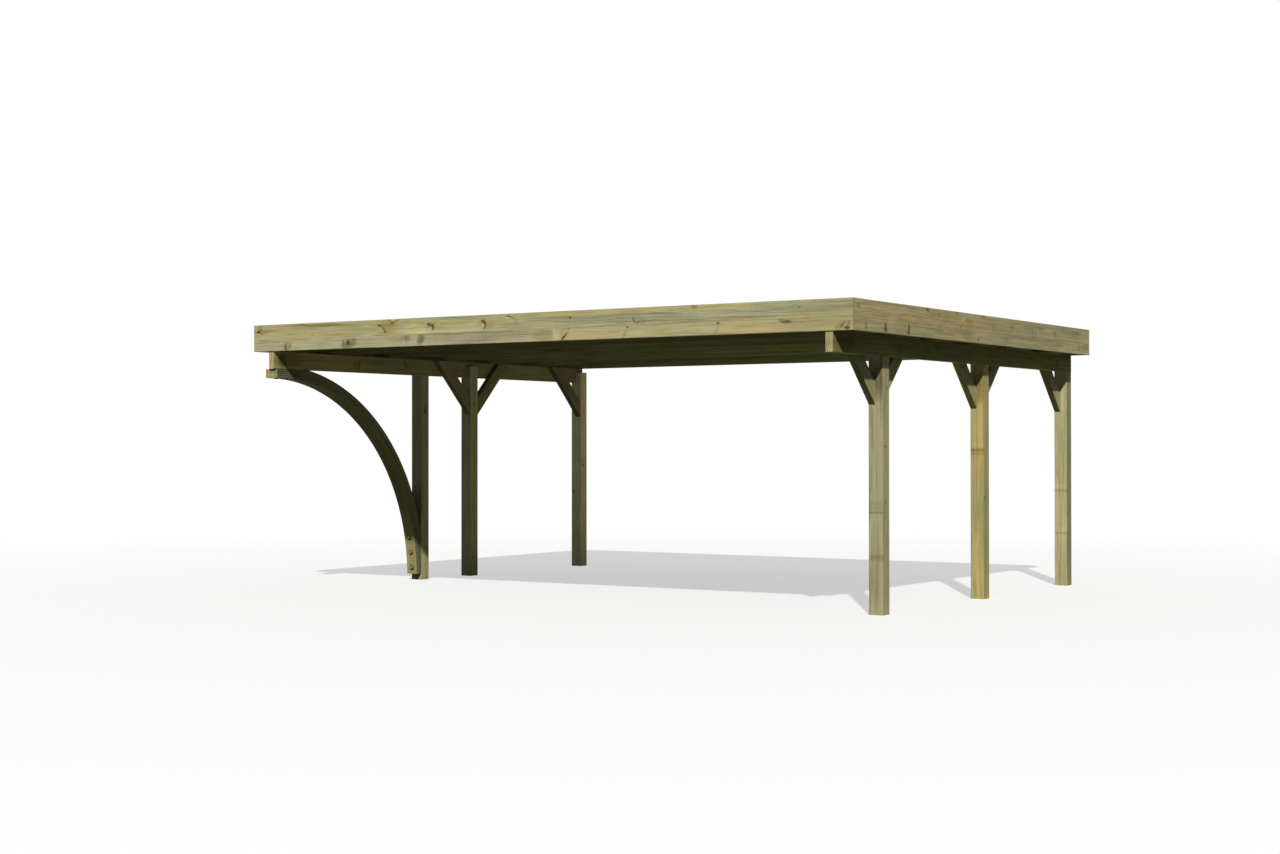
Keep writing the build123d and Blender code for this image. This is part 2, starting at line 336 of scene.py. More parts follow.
def oval(tree, place, u, v, half_u, half_v, turn=0.0):
    """Distance from an oval's middle, 1 on its edge."""
    angle, size = (0.0, 0.0, math.radians(turn)), (half_u, half_v, 900.0)
    local = add_node(tree, "ShaderNodeMapping", place, (u, v, 0.0), angle, size, vector_type="TEXTURE")
    return vector(tree, "LENGTH", local.outputs[0])["Value"]


no_knot = 9.0
long_mark = 0.06


def timber(
    name, axis, heart, light, deep,
    cut=None, ring=0.0045, knottiness=1.0, knots=(), marks=(), faces=(), end_start=0.72, gloss=0.12,
):
    """Treated pine for one piece, cut round its own heart.

    Knots are (along, up, half length, half height). Marks add a colour, a strength and, where they lie
    askew, a turn in degrees; some of them paint shade and light. Faces are a direction and a colour for
    the side that looks that way, which paint the light or shade on that side.
    """
    material, tree = new_material(name)
    flat, place = along(tree, axis, heart)
    seed = constant(tree, random.Random(name).uniform(0.0, 40.0))
    normal = add_node(tree, "ShaderNodeNewGeometry").outputs["Normal"]
    facing = vector(tree, "DOT_PRODUCT", normal, tuple(Vector(axis).normalized()))["Value"]
    end = smooth_step(tree, calc(tree, "ABSOLUTE", facing), end_start, end_start + 0.1)
    fine = loosen(tree, flat, seed, (45.0, 55.0), (0.022, 0.022))
    broad = loosen(tree, flat, seed, (7.0, 24.0), (0.12, 0.035))
    outlines = [oval(tree, fine, *knot) for knot in knots]
    nearest = no_knot
    for outline in outlines:
        nearest = calc(tree, "MINIMUM", outline, nearest)
    wood = sawn(
        tree, light, deep, cut or light, ring, knottiness,
        Place=place, Knot=nearest, End=end, Seed=seed,
    )
    tone = wood["Color"]
    for look_way, colour in faces:
        turned = vector(tree, "DOT_PRODUCT", normal, look_way)["Value"]
        tone = tint(tree, tone, smooth_step(tree, turned, 0.6, 0.9), colour)
    for u, v, half_u, half_v, colour, strength, *turn in marks:
        field = oval(tree, broad if half_u > long_mark else fine, u, v, half_u, half_v, *turn)
        tone = tint(tree, tone, smooth_step(tree, field, 1.2, 0.5, 0.0, strength), colour)
    for (u, v, half_u, half_v), outline in zip(knots, outlines):
        pith = oval(tree, fine, u - 0.42 * half_u, v - 0.38 * half_v, 0.8 * half_u, 0.75 * half_v)
        tone = tint(tree, tone, smooth_step(tree, pith, 1.1, 0.6, 0.0, 0.8), (1.22, 1.25, 1.45))
        past_pith = smooth_step(tree, pith, 0.75, 1.15)
        rim = calc(tree, "MULTIPLY", smooth_step(tree, outline, 1.15, 0.85), past_pith)
        tone = paint(tree, calc(tree, "MULTIPLY", rim, 0.9), tone, (0.085, 0.065, 0.022))
    make_surface(tree, tone, wood["Roughness"], gloss, wood["Height"])
    return material


def dress(node, material):
    """Give a frame piece its finish."""
    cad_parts[node].data.materials.clear()
    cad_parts[node].data.materials.append(material)


def middle(node):
    low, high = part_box(node)
    return (low + high) / 2.0


to_right = (1.0, 0.0, 0.0)
upright = (0.0, 0.0, 1.0)
brown = (0.52, 0.44, 0.32)
olive = (0.62, 0.60, 0.42)
grey = (0.50, 0.52, 0.48)
dark = (0.16, 0.14, 0.09)
# Each post has its light and deep tones, a tint on its right side that paints the light or shade
# falling on that side, and its own marks.
posts = {
    "post_right_front": ((0.450, 0.405, 0.233), (0.370, 0.350, 0.203), (1.10, 1.11, 1.15), [
        (0.79, 1.580, 0.010, 0.022, olive, 0.80), (0.84, 1.580, 0.040, 0.016, olive, 0.35),
        (1.30, 1.525, 0.010, 0.032, olive, 0.85), (0.44, 1.580, 0.025, 0.025, olive, 0.55),
        # The last mark on the next line darkens the front face under the beam, above the braces: painted
        # shade.
        (1.75, 1.500, 0.020, 0.030, olive, 0.60), (1.80, 1.583, 0.15, 0.014, (0.44, 0.42, 0.36), 0.95),
    ]),
    "post_right_middle": ((0.510, 0.425, 0.172), (0.410, 0.360, 0.160), (0.97, 1.02, 1.10), [
        (1.265, -0.350, 0.016, 0.022, (0.62, 0.56, 0.40), 0.85), (1.235, -0.348, 0.006, 0.016, brown, 0.70),
        (1.315, -0.350, 0.022, 0.022, (1.15, 1.14, 1.10), 0.80), (0.860, -0.372, 0.022, 0.020, olive, 0.85),
        # This mark darkens the front face under the beam, above the braces: painted shade.
        (1.80, -0.349, 0.15, 0.014, (0.62, 0.58, 0.50), 0.9),
    ]),
    "post_right_rear": ((0.520, 0.465, 0.248), (0.425, 0.400, 0.228), (0.67, 0.69, 0.73), [
        (0.49, -2.275, 0.006, 0.022, olive, 0.90), (0.885, -2.275, 0.014, 0.022, (0.72, 0.74, 0.72), 0.85),
        (0.925, -2.275, 0.014, 0.022, (1.12, 1.12, 1.12), 0.80), (1.61, -2.290, 0.012, 0.020, olive, 0.80),
        (1.19, -2.370, 0.055, 0.030, grey, 0.50), (0.72, -2.360, 0.050, 0.030, grey, 0.40),
    ]),
    "post_left_entry": ((0.33, 0.32, 0.205), (0.27, 0.277, 0.180), (1.42, 1.34, 1.10), [
        (1.645, 0.300, 0.012, 0.022, dark, 0.60), (1.665, 0.295, 0.045, 0.035, olive, 0.65),
        # This mark darkens the front face beside the curved brace: painted shade.
        (0.70, 0.362, 0.26, 0.016, (0.44, 0.44, 0.36), 0.95),
    ]),
    "post_left_middle": ((0.47, 0.475, 0.29), (0.38, 0.395, 0.245), (1.50, 1.40, 1.02), [
        (0.190, -0.405, 0.008, 0.070, dark, 0.60), (1.720, -0.400, 0.030, 0.030, olive, 0.60),
    ]),
    "post_left_rear": ((0.87, 0.83, 0.46), (0.79, 0.76, 0.425), (1.28, 1.22, 1.00), [
        (1.10, -2.320, 0.016, 0.035, olive, 0.85), (1.15, -2.300, 0.045, 0.035, olive, 0.50),
    ]),
}
for post, (light, deep, right_side_painted_light, marks) in posts.items():
    draw = random.Random(post)
    centre = middle(post)
    heart = (
        draw.uniform(0.0, 9.0),
        -centre.y + draw.uniform(-0.03, 0.03),
        centre.x + draw.uniform(-0.03, 0.03),
    )
    faces = [(to_right, right_side_painted_light)]
    dress(post, timber(post, upright, heart, light, deep, ring=0.0042, marks=marks, faces=faces))


# Side beams: one 60 by 155 mm plank along each side, seated in the posts' halved tops.
# Flat-sawn treated pine; the front ends show pale end grain.
to_rear = (0.0, 1.0, 0.0)
# The first mark darkens the beams' sides near the front end. The last lightens their rear half: painted light
# for the stronger light under the rear of the roof.
beam_marks = [
    (-2.20, 2.070, 0.20, 0.090, (0.66, 0.64, 0.54), 0.9),
    (-1.27, 2.055, 0.035, 0.065, olive, 0.75, -14.0), (-1.32, 2.060, 0.012, 0.060, olive, 0.70, 10.0),
    (-0.58, 2.085, 0.014, 0.030, dark, 0.55), (-0.60, 2.115, 0.030, 0.030, olive, 0.70),
    (0.05, 2.050, 0.050, 0.050, olive, 0.50), (2.05, 2.040, 0.050, 0.060, olive, 0.60),
    (1.35, 2.060, 1.10, 0.120, (1.34, 1.28, 1.22), 0.9),
]
# A darker patch on the left beam's side near its front end, over the part that the sun reaches.
darker_near_front_end = (-2.29, 2.065, 0.058, 0.090, (0.58, 0.57, 0.44), 0.95)
end_grain = (0.50, 0.445, 0.24)
for beam, light, deep, marks in (
    ("beam_right", (0.345, 0.332, 0.122), (0.262, 0.256, 0.100), beam_marks),
    ("beam_left", (0.410, 0.362, 0.162), (0.318, 0.295, 0.136), beam_marks + [darker_near_front_end]),
):
    centre = middle(beam)
    heart = (0.7, centre.z + 0.02, centre.x - 0.26)
    wood = timber(beam, to_rear, heart, light, deep, cut=end_grain, ring=0.0055, marks=marks, gloss=0.03)
    dress(beam, wood)


# Knee braces: eight 58 by 120 mm braces at 45 degrees, screwed to the post's face and the beam's inner face.
# Treated pine, the grain along the brace, with painted shade on the narrow faces that look forward.
def nodes_named(start):
    return sorted(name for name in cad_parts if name.startswith(start))


# Tints for the narrow face that looks forward and down on each row of right braces: painted shade.
painted_shade_under = {"front": (0.32, 0.37, 0.27), "middle": (0.62, 0.58, 0.40), "rear": (0.46, 0.46, 0.33)}
look_down_front, look_up_front = (0.0, -0.707, -0.707), (0.0, -0.707, 0.707)
for brace in nodes_named("brace_"):
    draw = random.Random(brace)
    centre = middle(brace)
    grain = Vector((0.0, -1.0 if brace.endswith("_fore") else 1.0, 1.0)).normalized()
    rise = Vector(to_right).cross(grain)
    rise = rise if rise.z >= 0.0 else -rise
    heart = (
        draw.uniform(0.0, 5.0),
        centre.dot(rise) + draw.uniform(-0.04, 0.04),
        centre.x + draw.choice((-0.07, 0.07)),
    )
    light, deep, under = (0.35, 0.31, 0.15), (0.30, 0.27, 0.14), (0.56, 0.56, 0.54)
    if "right" in brace:
        light, deep, under = (0.46, 0.445, 0.245), (0.36, 0.35, 0.19), painted_shade_under[brace.split("_")[2]]
    # Both narrow faces that look forward, down and up, are darkened: painted shade.
    painted_shade_edges = [(look_down_front, under), (look_up_front, (0.42, 0.42, 0.40))]
    dress(brace, timber(brace, grain, heart, light, deep, faces=painted_shade_edges, end_start=0.69, gloss=0.04))


# Joists: seven 45 by 120 mm joists laid across the beams, their ends against the side boards.
# Treated pine on edge, the grain along the joist, each of its own tone, with painted light that makes
# them lighter towards the rear and painted shade on their undersides.
look_down = (0.0, 0.0, -1.0)
for joist in nodes_named("joist_"):
    draw = random.Random(joist)
    centre = middle(joist)
    heart = (
        draw.uniform(0.0, 8.0),
        centre.z + draw.uniform(-0.03, 0.03),
        centre.y + draw.choice((-0.06, 0.06)),
    )
    # Painted light: the joists are made lighter towards the rear.
    painted_light_to_rear = 0.98 + 0.13 * centre.y
    shade = draw.uniform(0.80, 1.26) * painted_light_to_rear
    warm = draw.uniform(0.92, 1.06)
    light = (0.36 * shade * warm, 0.36 * shade, 0.175 * shade)
    deep = (0.30 * shade * warm, 0.31 * shade, 0.15 * shade)
    # Painted shade on the joists' undersides.
    under = [(look_down, (0.70, 0.70, 0.66))]
    wood = timber(joist, to_right, heart, light, deep, ring=0.03, knottiness=0.4, faces=under, gloss=0.0)
    dress(joist, wood)


# Fascia: planed treated boards, two high all round, screwed to the joists' ends and faces.
# Each board is its own length of pine, so tone, knots and stains change from board to board.
rust = (0.50, 0.40, 0.30)
amber = (0.98, 0.78, 0.44)
moss = (0.84, 1.00, 0.78)
slate = (0.91, 0.96, 1.11)
cream = (1.18, 1.19, 1.24)
butter = (1.12, 1.08, 0.88)
pith = (1.30, 1.32, 1.50)
fascia = {
    "fascia_front_upper": dict(
        light=(0.475, 0.430, 0.235), deep=(0.405, 0.380, 0.212),
        knots=[(-0.955, 2.303, 0.034, 0.028), (-0.398, 2.306, 0.026, 0.036)],
        marks=[
            (1.55, 2.305, 1.50, 0.040, slate, 0.95), (0.85, 2.318, 0.75, 0.026, grey, 0.22, 1.2),
            (1.55, 2.337, 1.10, 0.005, grey, 0.40, 0.3), (1.70, 2.276, 1.20, 0.007, grey, 0.55),
            (1.35, 2.300, 0.45, 0.006, grey, 0.35, -0.6), (2.05, 2.318, 0.50, 0.006, grey, 0.35, 0.5),
            (0.25, 2.313, 0.27, 0.006, grey, 0.55, -3.0), (0.28, 2.335, 0.30, 0.012, grey, 0.30),
            (2.65, 2.318, 0.45, 0.030, olive, 0.30), (1.30, 2.366, 1.50, 0.016, butter, 0.9),
            (2.62, 2.350, 0.50, 0.045, (0.86, 0.90, 0.98), 0.90), (-0.66, 2.264, 0.62, 0.018, cream, 1.0),
            (-1.13, 2.285, 0.15, 0.055, (1.14, 1.12, 0.96), 1.0),
            (-1.12, 2.268, 0.15, 0.018, (1.10, 1.09, 1.04), 0.8),
            (-0.68, 2.318, 0.26, 0.030, (0.98, 1.06, 0.80), 0.9),
            (-0.33, 2.305, 0.045, 0.040, (0.92, 0.82, 0.66), 0.9),
            (-1.42, 2.325, 0.12, 0.060, (0.88, 0.82, 0.56), 0.9), (-2.945, 2.324, 0.026, 0.014, dark, 0.95),
            (-2.908, 2.306, 0.012, 0.010, dark, 0.75), (-2.925, 2.350, 0.030, 0.045, olive, 0.80, -20.0),
            (-2.87, 2.315, 0.035, 0.020, (0.92, 0.80, 0.58), 0.9),
            (-2.20, 2.362, 0.34, 0.005, brown, 0.75, -1.0), (-2.12, 2.350, 0.26, 0.005, grey, 0.75, 1.0),
            (-2.28, 2.372, 0.30, 0.005, olive, 0.70),
            (-2.20, 2.358, 0.50, 0.016, (0.80, 0.76, 0.62), 0.9, -1.5),
            (-2.30, 2.276, 0.50, 0.014, (1.04, 0.98, 0.70), 0.9),
            (-2.45, 2.320, 0.35, 0.022, (1.02, 1.05, 1.14), 0.8), (-1.75, 2.305, 0.28, 0.030, moss, 0.8),
            (-2.30, 2.282, 0.010, 0.012, brown, 0.8), (-1.523, 2.336, 0.032, 0.010, dark, 0.90, -8.0),
            (-1.485, 2.312, 0.008, 0.026, brown, 0.95, 50.0), (-1.462, 2.282, 0.013, 0.014, dark, 0.90),
            (-1.512, 2.304, 0.022, 0.020, pith, 0.8), (-1.378, 2.353, 0.024, 0.009, dark, 0.80),
            (-1.408, 2.370, 0.034, 0.006, brown, 0.85, -31.0),
            (-1.336, 2.370, 0.042, 0.006, brown, 0.85, 24.0), (-1.375, 2.378, 0.030, 0.010, pith, 0.5),
            (-0.985, 2.328, 0.020, 0.010, dark, 0.85), (-0.930, 2.284, 0.010, 0.010, dark, 0.75),
            (-0.410, 2.338, 0.022, 0.011, dark, 0.85), (-0.395, 2.271, 0.011, 0.009, dark, 0.75),
            (-0.140, 2.364, 0.032, 0.008, dark, 0.80, -12.0),
            (-0.100, 2.350, 0.030, 0.007, brown, 0.85, -30.0), (-0.165, 2.352, 0.026, 0.012, pith, 0.6),
            (-0.62, 2.372, 0.35, 0.012, grey, 0.40), (-0.065, 2.325, 0.012, 0.022, grey, 0.5),
            (0.474, 2.334, 0.015, 0.011, dark, 0.75, -35.0), (1.085, 2.290, 0.014, 0.030, grey, 0.75, 32.0),
            (1.120, 2.270, 0.020, 0.012, grey, 0.65, 20.0), (1.165, 2.278, 0.050, 0.022, grey, 0.35),
            (1.64, 2.374, 0.032, 0.022, olive, 0.9), (2.556, 2.334, 0.014, 0.010, dark, 0.55),
            (0.75, 2.264, 0.30, 0.014, cream, 0.6),
        ],
    ),
    "fascia_front_lower_left": dict(
        light=(0.495, 0.470, 0.295), deep=(0.425, 0.405, 0.255),
        marks=[
            (-2.615, 2.178, 0.014, 0.032, dark, 0.75), (-2.560, 2.196, 0.012, 0.032, olive, 0.85, -16.0),
            (-2.60, 2.190, 0.055, 0.040, olive, 0.65), (-1.940, 2.200, 0.011, 0.036, dark, 0.60),
            (-1.884, 2.198, 0.022, 0.026, dark, 0.80, -10.0), (-1.905, 2.212, 0.018, 0.022, pith, 0.45),
            (-1.88, 2.182, 0.095, 0.034, grey, 0.80), (-1.86, 2.205, 0.085, 0.045, olive, 0.60),
            (-1.815, 2.228, 0.010, 0.024, grey, 0.85, -25.0),
            (-1.072, 2.206, 0.040, 0.052, grey, 0.85, -38.0),
            (-1.060, 2.200, 0.060, 0.030, olive, 0.60, 30.0),
            (-1.215, 2.214, 0.036, 0.040, grey, 0.60, -30.0),
            (-1.25, 2.225, 0.055, 0.020, olive, 0.50, 10.0),
            (-0.35, 2.200, 0.70, 0.055, (0.90, 0.86, 0.86), 0.9), (-0.45, 2.241, 0.80, 0.009, grey, 0.55),
            (0.21, 2.200, 0.12, 0.060, (0.78, 0.77, 0.60), 0.95),
            (-0.10, 2.215, 0.30, 0.008, olive, 0.60, 0.5), (-0.40, 2.180, 0.40, 0.007, olive, 0.50, -0.5),
        ],
    ),
    "fascia_front_lower_right": dict(
        light=(0.555, 0.485, 0.250), deep=(0.485, 0.435, 0.235),
        marks=[
            (0.335, 2.200, 0.045, 0.060, (1.08, 1.10, 1.22), 0.9),
            (0.405, 2.170, 0.011, 0.026, dark, 0.95, -38.0),
            (0.432, 2.195, 0.009, 0.030, dark, 0.80, -38.0),
            (0.458, 2.238, 0.010, 0.012, brown, 0.7, -15.0), (0.42, 2.20, 0.055, 0.05, olive, 0.40),
            (1.026, 2.237, 0.016, 0.009, dark, 0.8), (1.000, 2.185, 0.014, 0.040, grey, 0.40, -30.0),
            (1.855, 2.238, 0.016, 0.010, dark, 0.8), (1.840, 2.185, 0.014, 0.040, grey, 0.45, -30.0),
            (1.78, 2.19, 0.07, 0.045, (1.04, 1.05, 1.10), 0.7), (2.440, 2.230, 0.058, 0.014, rust, 0.95),
            (2.462, 2.229, 0.016, 0.009, brown, 0.90), (2.395, 2.242, 0.016, 0.008, rust, 0.7),
            (2.952, 2.168, 0.028, 0.016, dark, 0.95), (2.915, 2.190, 0.014, 0.040, grey, 0.85, -38.0),
            (2.965, 2.198, 0.012, 0.030, grey, 0.80, -18.0),
            (2.885, 2.180, 0.045, 0.022, olive, 0.60, 25.0),
            (2.62, 2.205, 0.45, 0.050, (0.86, 0.84, 0.84), 0.9),
            (2.85, 2.208, 0.16, 0.012, (0.96, 0.82, 0.72), 0.7),
        ],
    ),
    "fascia_right_upper": dict(
        light=(0.525, 0.435, 0.236), deep=(0.465, 0.392, 0.220),
        marks=[
            (-2.32, 2.333, 0.030, 0.020, (0.72, 0.50, 0.38), 0.8, -30.0),
            (-2.15, 2.296, 0.25, 0.005, brown, 0.5, 2.5), (-1.135, 2.371, 0.034, 0.017, dark, 0.70),
            (-0.580, 2.376, 0.045, 0.012, dark, 0.50), (-0.05, 2.374, 0.050, 0.012, dark, 0.50),
            (-1.98, 2.381, 0.018, 0.008, dark, 0.5),
            (-0.455, 2.322, 0.055, 0.012, (1.35, 1.38, 1.55), 0.9, 32.0),
            (-0.49, 2.275, 0.012, 0.045, grey, 0.8, -40.0), (-0.315, 2.293, 0.110, 0.034, amber, 0.90),
            (-0.36, 2.325, 0.07, 0.018, olive, 0.5), (-1.55, 2.275, 0.65, 0.030, (1.06, 0.94, 0.88), 0.9),
            (-1.60, 2.372, 0.90, 0.014, (0.84, 0.95, 0.84), 0.9),
            (-0.95, 2.300, 0.16, 0.050, (1.00, 0.94, 0.72), 0.6),
            (-0.70, 2.345, 0.35, 0.024, (0.84, 0.92, 0.80), 0.8),
            (1.30, 2.320, 1.40, 0.110, (0.87, 0.95, 0.98), 0.9),
            (1.00, 2.350, 0.45, 0.022, (0.86, 0.84, 0.94), 0.85),
            (1.90, 2.345, 0.35, 0.024, (0.84, 0.86, 0.92), 0.85),
            (1.35, 2.268, 0.95, 0.014, (1.10, 1.08, 1.04), 0.8),
            (0.17, 2.300, 0.030, 0.030, olive, 0.55, -20.0), (0.55, 2.308, 0.028, 0.034, olive, 0.65, 25.0),
            (0.60, 2.325, 0.040, 0.014, grey, 0.45, 20.0), (1.02, 2.290, 0.018, 0.045, olive, 0.65, 15.0),
            (1.08, 2.285, 0.018, 0.045, olive, 0.55, -25.0), (1.55, 2.300, 0.045, 0.040, grey, 0.40),
            (2.08, 2.305, 0.13, 0.040, (0.80, 0.95, 0.82), 0.8), (2.12, 2.335, 0.055, 0.018, olive, 0.6),
            (0.95, 2.300, 0.10, 0.040, (0.80, 0.96, 0.96), 0.6),
        ],
    ),
    "fascia_right_lower": dict(
        light=(0.515, 0.460, 0.268), deep=(0.430, 0.398, 0.236),
        marks=[
            (-2.195, 2.190, 0.022, 0.040, grey, 0.75),
            (-1.870, 2.200, 0.026, 0.040, (0.27, 0.28, 0.17), 0.90),
            (-1.868, 2.174, 0.048, 0.016, grey, 0.95), (-1.900, 2.232, 0.010, 0.018, grey, 0.7, 25.0),
            (-1.468, 2.206, 0.024, 0.046, (0.30, 0.31, 0.20), 0.85),
            (-1.472, 2.170, 0.036, 0.014, grey, 0.8), (-1.545, 2.228, 0.018, 0.020, grey, 0.55),
            (-1.36, 2.215, 0.10, 0.040, (0.94, 0.86, 0.76), 0.8), (-0.90, 2.225, 0.10, 0.025, olive, 0.6),
            (-0.88, 2.180, 0.012, 0.030, grey, 0.40), (-0.50, 2.228, 0.30, 0.024, olive, 0.55),
            (-0.35, 2.190, 0.16, 0.040, olive, 0.35), (-0.155, 2.178, 0.020, 0.020, dark, 0.65),
            (-0.12, 2.195, 0.010, 0.026, olive, 0.55, -25.0),
            (0.44, 2.200, 0.030, 0.034, olive, 0.55, -15.0), (0.40, 2.168, 0.022, 0.016, olive, 0.7),
            (1.10, 2.200, 0.020, 0.035, olive, 0.40), (1.10, 2.232, 0.90, 0.010, olive, 0.55),
            (2.12, 2.205, 0.018, 0.036, olive, 0.75, -15.0), (2.15, 2.215, 0.040, 0.025, olive, 0.50),
            (2.30, 2.215, 0.10, 0.030, olive, 0.6),
        ],
    ),
    "fascia_rear_upper": dict(light=(0.54, 0.49, 0.26), deep=(0.47, 0.45, 0.25)),
    "fascia_rear_lower_left": dict(light=(0.56, 0.50, 0.27), deep=(0.48, 0.45, 0.25)),
    "fascia_rear_lower_right": dict(light=(0.53, 0.49, 0.28), deep=(0.46, 0.44, 0.25)),
    "fascia_left_upper": dict(light=(0.48, 0.43, 0.24), deep=(0.41, 0.38, 0.22)),
    "fascia_left_lower": dict(light=(0.47, 0.44, 0.26), deep=(0.40, 0.38, 0.23)),
}
for board, look in fascia.items():
    draw = random.Random(board)
    centre = middle(board)
    sideways = board.split("_")[1] in ("left", "right")
    through = centre.x if sideways else centre.y
    heart = (
        draw.uniform(0.0, 3.0),
        centre.z + draw.uniform(-0.02, 0.02),
        through + draw.choice((-0.08, 0.08)),
    )
    knottiness = 0.55 if "marks" in look else 0.9
    grain = to_rear if sideways else to_right
    dress(board, timber(board, grain, heart, ring=0.006, knottiness=knottiness, **look))


# Curved entry brace: six 19 mm laminations of treated pine bent round a former and glued, then planed.
# The CAD piece is one solid, so its finish draws each lamination as its own board, with dark glue lines.
def look_parts(tree):
    """The three parts of the direction that a face looks in."""
    normal = add_node(tree, "ShaderNodeNewGeometry").outputs["Normal"]
    return add_node(tree, "ShaderNodeSeparateXYZ", normal).outputs


lamination = 0.019
ring_inner = 1.889
ring_middle = 1.95
arch_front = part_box("entry_arch")[0].y
ring_centre_y = arch_front + 0.061
ring_centre_z = 0.025
heart_x = -2.72
next_board = 1.7
nose_end_from, nose_end_to = ring_centre_y - 0.050, ring_centre_y - 0.055
bevel_from, bevel_to = ring_centre_y - 0.038, ring_centre_y - 0.043
darker_from, darker_to = arch_front + 0.42, arch_front + 0.20
height_low, height_high = 0.30, 0.85
glulam, tree = new_material("entry_arch")
spot = add_node(tree, "ShaderNodeTexCoord").outputs["Object"]
spot = add_node(tree, "ShaderNodeSeparateXYZ", spot).outputs
away_y = calc(tree, "SUBTRACT", spot[1], ring_centre_y)
away_z = calc(tree, "SUBTRACT", spot[2], ring_centre_z)
on_ring_y = calc(tree, "MAXIMUM", away_y, 0.0)
run = calc(tree, "MULTIPLY", calc(tree, "ARCTAN2", away_z, on_ring_y), ring_middle)
run = calc(tree, "SUBTRACT", run, calc(tree, "MINIMUM", away_y, 0.0))
layer = calc(tree, "SUBTRACT", distance(tree, on_ring_y, away_z), ring_inner)
layer = calc(tree, "DIVIDE", layer, lamination)
number = calc(tree, "FLOOR", layer)
within = calc(tree, "SUBTRACT", layer, number)
pick = add_node(tree, "ShaderNodeTexWhiteNoise", noise_dimensions="1D")
tree.links.new(number, pick.inputs["W"])
chance = pick.outputs["Value"]
run = calc(tree, "MULTIPLY_ADD", number, next_board, run)
rise = calc(tree, "MULTIPLY_ADD", within, lamination, calc(tree, "MULTIPLY_ADD", chance, 0.05, 0.03))
wide = calc(tree, "ADD", spot[0], calc(tree, "MULTIPLY_ADD", chance, 0.1, -heart_x))
board_place = add_node(tree, "ShaderNodeCombineXYZ", run, rise, wide).outputs[0]
look = look_parts(tree)
head_on = smooth_step(tree, calc(tree, "MULTIPLY", look[1], -1.0), 0.97, 0.995)
at_nose = smooth_step(tree, spot[1], nose_end_from, nose_end_to)
nose_end = calc(tree, "MULTIPLY", head_on, at_nose)
wood = sawn(
    tree, (0.44, 0.39, 0.215), (0.37, 0.335, 0.185), (0.485, 0.405, 0.228), 0.004, 0.5,
    Place=board_place, Knot=no_knot, End=nose_end, Seed=7.3,
)
sideways = smooth_step(tree, calc(tree, "ABSOLUTE", look[0]), 0.75, 0.95)
# The sides are made darker near the nose and low down.
darker_near_nose = smooth_step(tree, spot[1], darker_from, darker_to)
# Height up the arch. Higher up, the faces that are not sides are given painted shade.
higher_up = smooth_step(tree, spot[2], height_low, height_high)
darker_low_side = calc(tree, "MULTIPLY", calc(tree, "SUBTRACT", 1.0, higher_up), sideways)
flat_side = calc(tree, "SUBTRACT", calc(tree, "SUBTRACT", 1.0, sideways), nose_end)
bevel = smooth_step(tree, spot[1], bevel_from, bevel_to)
outer_half = smooth_step(tree, within, 0.45, 0.90)
off_centre = calc(tree, "ABSOLUTE", calc(tree, "SUBTRACT", within, 0.5))
glue = calc(tree, "MULTIPLY", smooth_step(tree, off_centre, 0.34, 0.44, 0.0, 0.85), sideways)
tone = wood["Color"]
for factor, colour in (
    (smooth_step(tree, chance, 0.0, 1.0, 0.0, 0.55), (0.62, 0.62, 0.58)),
    (sideways, (0.58, 0.66, 0.67)),
    (calc(tree, "MULTIPLY", darker_near_nose, sideways), (0.62, 0.66, 0.74)),
    (darker_low_side, (0.84, 0.84, 0.84)),
    # Painted shade: the soffit and the other faces that are not sides, darker higher up, where they lie in
    # the roof's shadow.
    (calc(tree, "MULTIPLY", higher_up, flat_side), (0.56, 0.56, 0.54)),
    (flat_side, (0.96, 0.95, 0.79)),
    (calc(tree, "MULTIPLY", bevel, flat_side), (1.55, 1.50, 1.65)),
    (calc(tree, "MULTIPLY", outer_half, sideways), (1.75, 1.68, 1.60)),
    (glue, (0.20, 0.18, 0.13)),
):
    tone = tint(tree, tone, factor, colour)
relief = calc(tree, "SUBTRACT", wood["Height"], glue)
make_surface(tree, tone, wood["Roughness"], 0.02, relief, 0.001)
dress("entry_arch", glulam)


# Bolts: domed 54 mm bolt heads, three up the foot of the curved brace and two under its nose, drawn up square
# to the soffit. Dark oiled galvanised steel with a soft spangle, and a lighter crown where the heads face
# forward: a painted highlight.
head_radius, rim_height, rim_middle = 0.027, 0.003, 0.0018
dome_steps = (
    (0.0008, 0.0012), (0.0024, 0.0026), (0.0040, 0.0029),
    (0.0052, 0.0024), (0.0058, 0.0014), (0.0050, 0.0004),
)
foot_heights = (0.118, 0.265, 0.410)
foot_reaches = [(ring_inner**2 - (height - ring_centre_z)**2)**0.5 for height in foot_heights]
nose_reaches = [-0.026, 0.204]
zinc, tree = new_material("galvanised_bolts")
spot = add_node(tree, "ShaderNodeTexCoord").outputs["Object"]
spangle = add_node(tree, "ShaderNodeTexVoronoi", spot, None, 260.0)
grime = add_node(tree, "ShaderNodeTexNoise", spot, None, 60.0, 3.0).outputs[0]
fleck = add_node(tree, "ShaderNodeSeparateColor", spangle.outputs["Color"]).outputs[0]
tone = paint(tree, fleck, (0.045, 0.042, 0.008), (0.075, 0.069, 0.018))
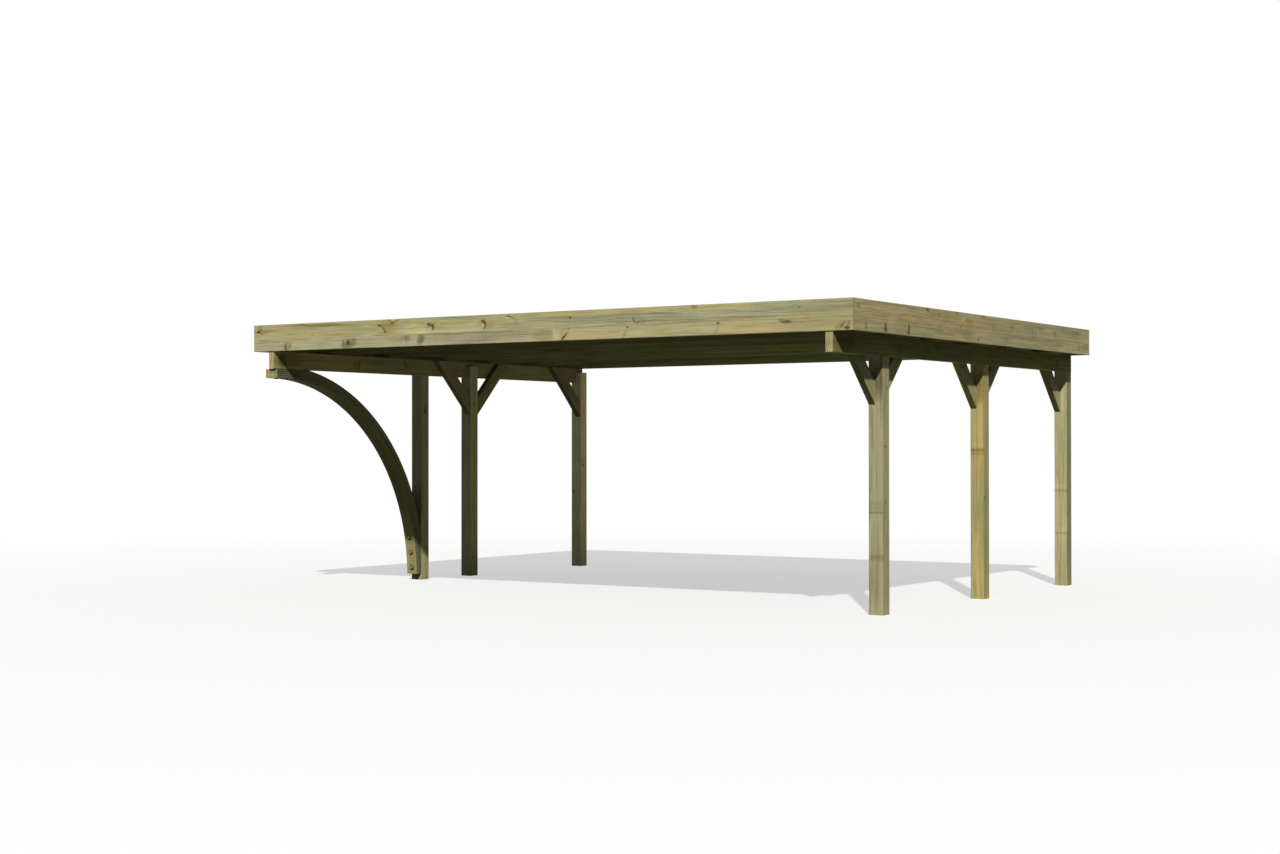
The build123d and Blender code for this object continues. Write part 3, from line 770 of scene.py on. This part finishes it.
# Painted highlight: the part of each head that faces forward is made lighter.
painted_highlight_crown = smooth_step(tree, calc(tree, "MULTIPLY", look_parts(tree)[1], -1.0), 0.93, 0.985)
tone = paint(tree, painted_highlight_crown, tone, (0.30, 0.285, 0.13))
tone = tint(tree, tone, smooth_step(tree, grime, 0.45, 0.75, 0.0, 0.8), (0.40, 0.34, 0.26))
steel = make_surface(tree, tone, smooth_step(tree, grime, 0.3, 0.7, 0.20, 0.32), 0.1)
steel.inputs["Metallic"].default_value = 0.1
bpy.ops.object.select_all(action="DESELECT")
bpy.ops.mesh.primitive_cylinder_add(
    vertices=32, radius=head_radius, depth=rim_height, location=(0.0, 0.0, rim_middle)
)
head = bpy.context.object
head.data.materials.append(zinc)
bpy.ops.object.mode_set(mode="EDIT")
bpy.ops.mesh.select_mode(type="FACE")
bpy.ops.mesh.select_all(action="DESELECT")
bpy.ops.object.mode_set(mode="OBJECT")
max(head.data.polygons, key=lambda face: face.center.z).select = True
bpy.ops.object.mode_set(mode="EDIT")
for inward, upward in dome_steps:
    bpy.ops.mesh.inset(thickness=inward, depth=upward)
bpy.ops.mesh.select_mode(type="VERT")
bpy.ops.object.mode_set(mode="OBJECT")
bpy.ops.object.shade_smooth_by_angle(angle=math.radians(40.0))
for node, name, reaches in (
    ("arch_foot_bolts", "coach_bolts_foot", foot_reaches),
    ("arch_nose_bolts", "coach_bolts_nose", nose_reaches),
):
    copies = []
    for reach in reaches:
        up = (ring_inner**2 - max(reach, 0.0)**2)**0.5
        copy = head.copy()
        copy.data = head.data.copy()
        bpy.context.scene.collection.objects.link(copy)
        outward = Vector((0.0, -max(reach, 0.0), -up)).normalized()
        turned = outward.to_track_quat("Z", "X").to_matrix().to_4x4()
        turned.translation = (middle(node).x, ring_centre_y + reach, ring_centre_z + up)
        copy.data.transform(turned)
        copies.append(copy)
    bpy.ops.object.select_all(action="DESELECT")
    for copy in copies:
        copy.select_set(True)
    bpy.context.view_layer.objects.active = copies[0]
    bpy.ops.object.join()
    bolts = bpy.context.object
    bolts.name = name
    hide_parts(node)
    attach(bolts, "root")
bpy.data.objects.remove(head)


# Roof sheets: ribbed coated steel, laid front to back and lapped one rib over the next.
# Mid grey, half matt, with rain dirt in the pans.
pan_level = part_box("roof_sheet_2")[0].z
coated, tree = new_material("coated_steel")
spot = add_node(tree, "ShaderNodeTexCoord").outputs["Object"]
seed = constant(tree, 3.0)
level = add_node(tree, "ShaderNodeSeparateXYZ", spot).outputs["Z"]
wash = cloud(tree, stretch(tree, spot, 9.0, 0.8, 3.0), seed, 4.0, 0.6)[0]
fine = cloud(tree, stretch(tree, spot, 60.0, 25.0, 60.0), seed, 2.0, 0.6)[0]
pan = smooth_step(tree, level, pan_level + 0.012, pan_level + 0.001)
dirt = calc(tree, "MULTIPLY_ADD", pan, 0.6, 0.25)
dirt = calc(tree, "MULTIPLY", smooth_step(tree, wash, 0.40, 0.70), dirt)
tone = paint(tree, smooth_step(tree, fine, 0.3, 0.7), (0.155, 0.160, 0.160), (0.175, 0.180, 0.180))
tone = paint(tree, dirt, tone, (0.20, 0.18, 0.13))
tone = tint(tree, tone, smooth_step(tree, look_parts(tree)[2], -0.3, -0.7), (0.70, 0.68, 0.52))
make_surface(tree, tone, smooth_step(tree, dirt, 0.0, 0.6, 0.60, 0.85), 0.2)
for sheet in nodes_named("roof_sheet_"):
    dress(sheet, coated)
